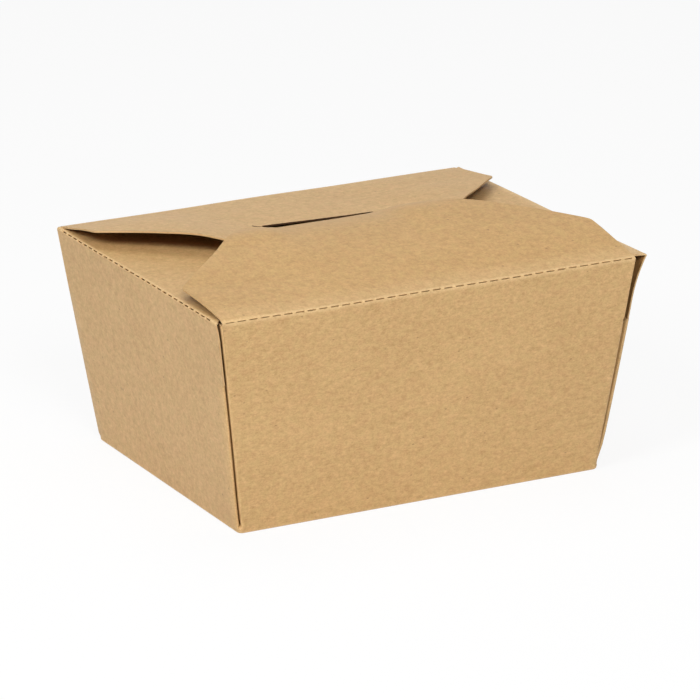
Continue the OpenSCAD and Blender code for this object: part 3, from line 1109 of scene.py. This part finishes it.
# %% Fibres
FIBRES = {
    "streaks": {"along": 0.5, "across": 1.4, "detail": 4, "roughness": 0.62},
    "felt": {"along": 1.7, "across": 2.3, "detail": 4, "roughness": 0.66},
    "hairs": {"along": 1.3, "across": 5.5, "detail": 3, "roughness": 0.55},
    "patches": {"along": 0.6, "across": 0.8, "detail": 5, "roughness": 0.7},
}
CLOUD_SCALE, CLOUD_DETAIL = 0.045, 3
TONE = (
    ("streaks", 0.32, 0.68, 0.22), ("felt", 0.32, 0.68, 0.3), ("hairs", 0.3, 0.7, 0.16),
    ("patches", 0.34, 0.66, 0.24), ("clouds", 0.35, 0.65, 0.06))


def fibre_layers(tree, place):
    """The noises of the board, by name."""
    layers = {}
    for name, fibre in FIBRES.items():
        lies = stretched(tree, place, fibre["along"], fibre["across"])
        layers[name] = noise_at(tree, lies, 1.0, fibre["detail"], fibre["roughness"])
    layers["clouds"] = noise_at(tree, place, CLOUD_SCALE, CLOUD_DETAIL)
    return layers


def shares(tree, layers, parts):
    """The sum of some layers, each as (name, low, high, share), stretched to its range first."""
    total = 0.0
    for name, low, high, share in parts:
        total = maths(tree, "MULTIPLY_ADD", spread_from(tree, layers[name], low, high), share, total)
    return total


# %% [markdown]
# ## Hue and specks
# Brown pulp drifts a little between warmer and cooler, and a few specks of bark stay in it. The specks
# are the middles of a few cells of a Voronoi pattern, picked by the cell's random colour. Where the mesh
# marks the front flap, a painted shade makes its colour a touch warmer and darker.

# %% Hue and specks
HUE_ALONG, HUE_ACROSS, HUE_DETAIL = 0.4, 0.5, 3
HUE_LOW, HUE_HIGH = 0.36, 0.64
WARMER = (1.015, 0.985, 0.97, 1)
COOLER = (0.985, 1.0, 0.95, 1)
# Painted shade: where the mesh layer is full, the front flap's colour is multiplied by this tint.
PAINTED_LID_SHADE_TINT = (0.915, 0.875, 0.775, 1)
SPECK_ALONG, SPECK_ACROSS, SPECK_SCALE = 0.55, 1.1, 0.55
SPECK_RARE = 0.86
SPECK_SIZE = 0.11
SPECK_SHARE = 0.45
SPECK_COLOUR = colour(120, 84, 48)


def add_hue(tree, place, base):
    """Drifts the board's colour, and warms and darkens it with painted shade where the mesh marks the front
    flap.
    """
    drift = noise_at(tree, stretched(tree, place, HUE_ALONG, HUE_ACROSS), 1.0, HUE_DETAIL)
    hue = blend_colour(tree, spread_from(tree, drift, HUE_LOW, HUE_HIGH), WARMER, COOLER)
    base = blend_colour(tree, 1.0, base, hue, "MULTIPLY")
    painted_lid_shade = add_node(tree, "ShaderNodeAttribute", attribute_name="painted_lid_shade").outputs["Fac"]
    return blend_colour(tree, painted_lid_shade, base, PAINTED_LID_SHADE_TINT, "MULTIPLY")


def add_specks(tree, place, base):
    """Sprinkles specks of bark over the board's colour."""
    inputs = {"Vector": stretched(tree, place, SPECK_ALONG, SPECK_ACROSS), "Scale": SPECK_SCALE}
    cells = add_node(tree, "ShaderNodeTexVoronoi", inputs)
    drawn = add_node(tree, "ShaderNodeSeparateColor", {0: cells.outputs["Color"]}).outputs[0]
    rare = maths(tree, "GREATER_THAN", drawn, SPECK_RARE)
    speck = maths(tree, "MULTIPLY", maths(tree, "LESS_THAN", cells.outputs["Distance"], SPECK_SIZE), rare)
    return blend_colour(tree, maths(tree, "MULTIPLY", speck, SPECK_SHARE), base, SPECK_COLOUR)


# %% [markdown]
# ## One recipe for every side of the board
# The outside, the liner and the cut edges share one recipe, with their own colours, shine and depth of
# relief. The folds are painted paler, partly for rubbed fibres and partly as a painted highlight. Numbers
# that don't vary go on the shader's own sockets; the roughness follows the felt, so it has its link.

# %% Board material
RUB_AND_HIGHLIGHT_LOW, RUB_AND_HIGHLIGHT_HIGH, RUB_AND_HIGHLIGHT_SHARE = 0.1, 0.8, 0.9
RELIEF_HAIRS, RELIEF_STREAKS, RELIEF_FELT = 0.5, 0.7, 0.4
RELIEF_DEPTH = 0.12 * MM
FELT_SHINE = 0.14
SPECULAR, IOR = 0.55, 1.45


def relief_height(tree, layers):
    """How the fibres stand out of the sheet."""
    hairs = maths(tree, "MULTIPLY", layers["hairs"], RELIEF_HAIRS)
    height = maths(tree, "ADD", hairs, maths(tree, "MULTIPLY", layers["streaks"], RELIEF_STREAKS))
    return maths(tree, "ADD", height, maths(tree, "MULTIPLY", layers["felt"], RELIEF_FELT))


def board_material(name, dark, light, rubbed_and_highlit, roughness, relief):
    """A board finish from its darkest, lightest and rubbed-and-highlit colour, its roughness and its
    relief.
    """
    material = bpy.data.materials.new(name)
    material.use_nodes = True
    tree = material.node_tree
    shader = tree.nodes["Principled BSDF"]
    place = grain_place(tree)
    layers = fibre_layers(tree, place)
    base = blend_colour(tree, shares(tree, layers, TONE), colour(*dark), colour(*light))
    base = add_specks(tree, place, add_hue(tree, place, base))
    # Painted highlight and rub: the folds take the paler colour, unevenly along the felt.
    worn_and_highlit = add_node(tree, "ShaderNodeAttribute", attribute_name="rub_and_highlight").outputs["Fac"]
    uneven = maths(tree, "MULTIPLY", spread_from(tree, layers["felt"], RUB_AND_HIGHLIGHT_LOW, RUB_AND_HIGHLIGHT_HIGH), RUB_AND_HIGHLIGHT_SHARE)
    base = blend_colour(tree, maths(tree, "MULTIPLY", worn_and_highlit, uneven, clamp=True), base, colour(*rubbed_and_highlit))
    bump = {"Height": relief_height(tree, layers), "Strength": relief, "Distance": RELIEF_DEPTH}
    shine = maths(tree, "MULTIPLY", layers["felt"], FELT_SHINE)
    rough = maths(tree, "ADD", shine, roughness - FELT_SHINE / 2)
    tree.links.new(base, shader.inputs["Base Color"])
    tree.links.new(add_node(tree, "ShaderNodeBump", bump).outputs[0], shader.inputs["Normal"])
    tree.links.new(rough, shader.inputs["Roughness"])
    shader.inputs["Specular IOR Level"].default_value = SPECULAR
    shader.inputs["IOR"].default_value = IOR
    return material


# %% [markdown]
# ## The four finishes
# The order of a piece's materials matters: Solidify was told that the rim's is the next one and the
# inside's the one after it. The slot's walls get the cutter's material, which is dark, because so
# narrow a cut shows hardly any light.

# %% Finishes
kraft_outside = board_material(
    "kraft_outside", dark=(168, 128, 76), light=(226, 190, 136), rubbed_and_highlit=(228, 194, 142),
    roughness=0.55, relief=0.28)
kraft_inside = board_material(
    "kraft_liner", dark=(138, 98, 56), light=(174, 132, 82), rubbed_and_highlit=(176, 136, 88),
    roughness=0.42, relief=0.2)
cut_edge = board_material(
    "kraft_cut_edge", dark=(182, 144, 96), light=(214, 180, 132), rubbed_and_highlit=(222, 188, 140),
    roughness=0.85, relief=0.6)
slot_edge = board_material(
    "kraft_slot_edge", dark=(58, 34, 14), light=(84, 54, 28), rubbed_and_highlit=(84, 54, 28),
    roughness=0.9, relief=0.6)
for board in (tray, front_flap, crease):
    for material in (kraft_outside, cut_edge, kraft_inside):
        board.data.materials.append(material)
slot_cutter.data.materials.append(slot_edge)
print("finishes:", [material.name for material in (kraft_outside, cut_edge, kraft_inside, slot_edge)])

# %% [markdown]
# ## Cutting the slot
# The slot is cut last, from the thick board, with an exact Boolean, so it has true walls. The cutter's
# material is transferred to them. After that the cutter has done its work and is removed.

# %% Cut the slot and keep the results
apply_modifiers(tray)
cut = tray.modifiers.new("slot", "BOOLEAN")
cut.operation = "DIFFERENCE"
cut.solver = "EXACT"
cut.object = slot_cutter
cut.material_mode = "TRANSFER"
apply_modifiers(tray)
bpy.data.objects.remove(slot_cutter)
apply_modifiers(front_flap)
apply_modifiers(crease)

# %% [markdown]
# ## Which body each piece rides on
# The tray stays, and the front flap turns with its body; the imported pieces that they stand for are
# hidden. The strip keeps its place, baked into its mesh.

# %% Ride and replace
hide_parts("carton")
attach(tray, "box")
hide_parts("front_flap")
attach(front_flap, "flap")
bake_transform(crease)

# %% [markdown]
# ## Camera
# The camera was found by matching the box's seven visible corners: it stands about 1.4 m away with a
# long lens, 27 degrees round to the left and 18 degrees up. Its place is worked out from those angles.

# %% Camera at the photograph's angle
VIEW_AZ = math.radians(-27.042)
VIEW_EL = math.radians(17.818)
VIEW_ROLL = math.radians(-0.565)
VIEW_DIST = 1435.53
AIM_RIGHT, AIM_UP, AIM_Z = 1.653, -0.405, 32.0
FOCAL_PX = 5012.27
IMAGE_PX = 700
SENSOR_MM = 36.0
SEES_UP_TO_M = 20


def way_to(azimuth, elevation):
    """The direction from the box to a place round it, both angles in radians, azimuth 0 in front."""
    flat = math.cos(elevation)
    return Vector((math.sin(azimuth) * flat, -math.cos(azimuth) * flat, math.sin(elevation)))


back = way_to(VIEW_AZ, VIEW_EL)
right = Vector((math.cos(VIEW_AZ), math.sin(VIEW_AZ), 0))
up = back.cross(right)
rolled_right = right * math.cos(VIEW_ROLL) + up * math.sin(VIEW_ROLL)
rolled_up = up * math.cos(VIEW_ROLL) - right * math.sin(VIEW_ROLL)
camera_at = Vector((0, 0, AIM_Z)) + right * AIM_RIGHT + up * AIM_UP + back * VIEW_DIST
camera_data = bpy.data.cameras.new("camera")
camera = bpy.data.objects.new("camera", camera_data)
bpy.context.collection.objects.link(camera)
camera_data.sensor_width = SENSOR_MM
camera_data.lens = FOCAL_PX / IMAGE_PX * SENSOR_MM
camera_data.clip_end = SEES_UP_TO_M
turn = Matrix((rolled_right, rolled_up, back)).transposed().to_4x4()
camera.matrix_world = Matrix.Translation(camera_at * MM) @ turn
bpy.context.scene.camera = camera
print(f"camera {VIEW_DIST:.0f} mm away, lens {camera_data.lens:.0f} mm")

# %% [markdown]
# ## Floor
# The photograph is a product shot on white. The floor is pale and keeps the box's shadow. To the
# camera it also glows a little, which lifts it to white without putting more light on the box. The
# Light Path node tells such rays from the ones that light the box.

# %% Floor
FLOOR_SIZE = 6.0
FLOOR_CELLS = 8
FLOOR_GLOW = 0.88
WHITE = (1, 1, 1, 1)


def is_seen(tree):
    """1 for a ray from the camera, a mirror or through glass, 0 for one that only lights."""
    path = add_node(tree, "ShaderNodeLightPath")
    seen = maths(tree, "ADD", path.outputs["Is Camera Ray"], path.outputs["Is Glossy Ray"], clamp=True)
    return maths(tree, "ADD", seen, path.outputs["Is Transmission Ray"], clamp=True)


def floor_material():
    """Pale paint that glows a little to the camera."""
    material = bpy.data.materials.new("pale_floor")
    material.use_nodes = True
    tree = material.node_tree
    tree.nodes.clear()
    paint = add_node(tree, "ShaderNodeBsdfDiffuse", {"Color": colour(250, 250, 250)})
    glow = add_node(tree, "ShaderNodeEmission", {"Color": WHITE, "Strength": 1.0})
    share = maths(tree, "MULTIPLY", is_seen(tree), FLOOR_GLOW)
    both = add_node(tree, "ShaderNodeMixShader", {0: share, 1: paint.outputs[0], 2: glow.outputs[0]})
    add_node(tree, "ShaderNodeOutputMaterial", {0: both.outputs[0]})
    return material


bpy.ops.mesh.primitive_grid_add(
    x_subdivisions=FLOOR_CELLS, y_subdivisions=FLOOR_CELLS, size=FLOOR_SIZE, location=(0, 0, 0))
floor = bpy.context.active_object
floor.name = "floor"
floor.data.materials.append(floor_material())
print(f"floor {FLOOR_SIZE:.0f} m square")

# %% [markdown]
# ## World
# The room is a dim white that fills the shadows, and a full white where it is seen. So the backdrop is
# white, and the light on the box stays at a plain level.

# %% World
WORLD_STRENGTH = 0.14
world = bpy.data.worlds.new("soft_white_room")
bpy.context.scene.world = world
world.use_nodes = True
room_tree = world.node_tree
room_tree.nodes.clear()
room = add_node(room_tree, "ShaderNodeBackground", {"Color": WHITE, "Strength": WORLD_STRENGTH})
backdrop = add_node(room_tree, "ShaderNodeBackground", {"Color": WHITE, "Strength": 1.0})
sides = {0: is_seen(room_tree), 1: room.outputs[0], 2: backdrop.outputs[0]}
both = add_node(room_tree, "ShaderNodeMixShader", sides)
add_node(room_tree, "ShaderNodeOutputWorld", {0: both.outputs[0]})

# %% [markdown]
# ## Lamps
# Three softboxes look at the middle of the box: one above the camera and a little to its right, one at
# the left, so that the left wall is as bright as the front one, and a wide one overhead from behind.

# %% Lamps
LAMP_AIM_M = 0.03
SOFTBOXES = {
    "key_softbox": {"azimuth": -14, "elevation": 36, "distance": 1.3, "size": 0.4, "power": 7.8},
    "left_softbox": {"azimuth": -66, "elevation": 40, "distance": 1.3, "size": 0.45, "power": 7.7},
    "overhead_softbox": {"azimuth": 170, "elevation": 76, "distance": 1.1, "size": 0.8, "power": 3.5},
}


def softbox(name, azimuth, elevation, distance, size, power):
    """A square lamp that looks at the box: angles in degrees, distance and size in metres, watts."""
    lamp = bpy.data.lights.new(name, "AREA")
    lamp.size = size
    lamp.energy = power
    holder = bpy.data.objects.new(name, lamp)
    bpy.context.collection.objects.link(holder)
    way = way_to(math.radians(azimuth), math.radians(elevation))
    holder.location = way * distance + Vector((0, 0, LAMP_AIM_M))
    holder.rotation_euler = way.to_track_quat("Z", "Y").to_euler()


for name, box in SOFTBOXES.items():
    softbox(name, **box)
    print(f"{name}: {box['power']} W at {box['distance']} m")
bpy.context.scene.view_settings.view_transform = "Standard"
